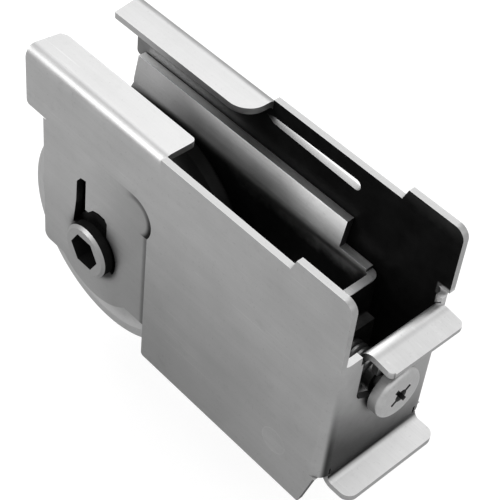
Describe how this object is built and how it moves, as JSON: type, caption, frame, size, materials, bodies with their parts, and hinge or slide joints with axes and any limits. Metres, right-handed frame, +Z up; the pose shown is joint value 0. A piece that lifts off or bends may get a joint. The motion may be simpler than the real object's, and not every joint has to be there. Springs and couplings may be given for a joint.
{
  "type": "sliding door roller",
  "caption": "Adjustable sliding door roller: folded sheet steel housing, pivoting carriage, grooved wheel on a ball bearing and a captive adjusting screw.",
  "frame": {"origin": "outer face of the end plate, middle of the width, level with the tops of the folded flanges", "axes": "+X along the length and out through the end plate, towards the adjusting screw's head; near side wall on -Y; +Z up, away from the track"},
  "size_m": [0.0657, 0.019, 0.0454],
  "materials": {
    "housing_sheet": "satin, fine grain",
    "carriage_sheet": "satin, fine grain",
    "pin_steel": "satin, flush riveted ends",
    "washer_steel": "satin",
    "wheel_steel": "turned",
    "spring_steel": "dark, oiled",
    "bearing_steel": "ground",
    "ball_steel": "polished",
    "cage_brass": "satin",
    "shield_steel": "dark, greased",
    "bolt_steel": "turned, worn bright at the rim",
    "nut_steel": "dull",
    "screw_steel": "satin"
  },
  "bodies": {
    "frame": {"housing": "housing_sheet", "pivot_pin": "pin_steel"},
    "carriage": {"carriage": "carriage_sheet", "pivot_washers": "washer_steel", "axle_bolt": "bolt_steel", "axle_spacer": "nut_steel", "axle_clinch_nut": "nut_steel", "bearing_inner_race": "bearing_steel"},
    "wheel": {"wheel_tyre": "wheel_steel", "bearing_snap_ring": "spring_steel", "bearing_outer_race": "bearing_steel", "bearing_shield_near": "shield_steel", "bearing_shield_far": "shield_steel"},
    "ball_set": {"bearing_balls": "ball_steel", "bearing_cage": "cage_brass"},
    "screw": {"adjusting_screw": "screw_steel"},
    "nut": {"thrust_nut": "nut_steel"}
  },
  "joints": [
    {"name": "carriage_pivot", "type": "hinge", "parent": "frame", "child": "carriage", "pos_m": [-0.008, 0, -0.0302], "axis": [0, -1, 0], "range_deg": [0, 12]},
    {"name": "wheel_spin", "type": "hinge", "parent": "carriage", "child": "wheel", "pos_m": [-0.0458, 0, -0.02765], "axis": [0, 1, 0], "continuous": true},
    {"name": "cage_spin", "type": "hinge", "parent": "carriage", "child": "ball_set", "pos_m": [-0.0458, 0, -0.02765], "axis": [0, 1, 0], "continuous": true},
    {"name": "screw_turn", "type": "hinge", "parent": "frame", "child": "screw", "pos_m": [0, 0, -0.0184], "axis": [1, 0, 0], "range_deg": [0, 1125]},
    {"name": "nut_travel", "type": "slide", "parent": "frame", "child": "nut", "axis": [-1, 0, 0], "range_m": [0, 0.0026]}
  ],
  "couplings": [
    {"joint": "cage_spin", "follows": "wheel_spin", "ratio": 0.6303},
    {"joint": "screw_turn", "follows": "carriage_pivot", "ratio": 93.38},
    {"joint": "nut_travel", "follows": "carriage_pivot", "m_per_rad": 0.0118}
  ]
}
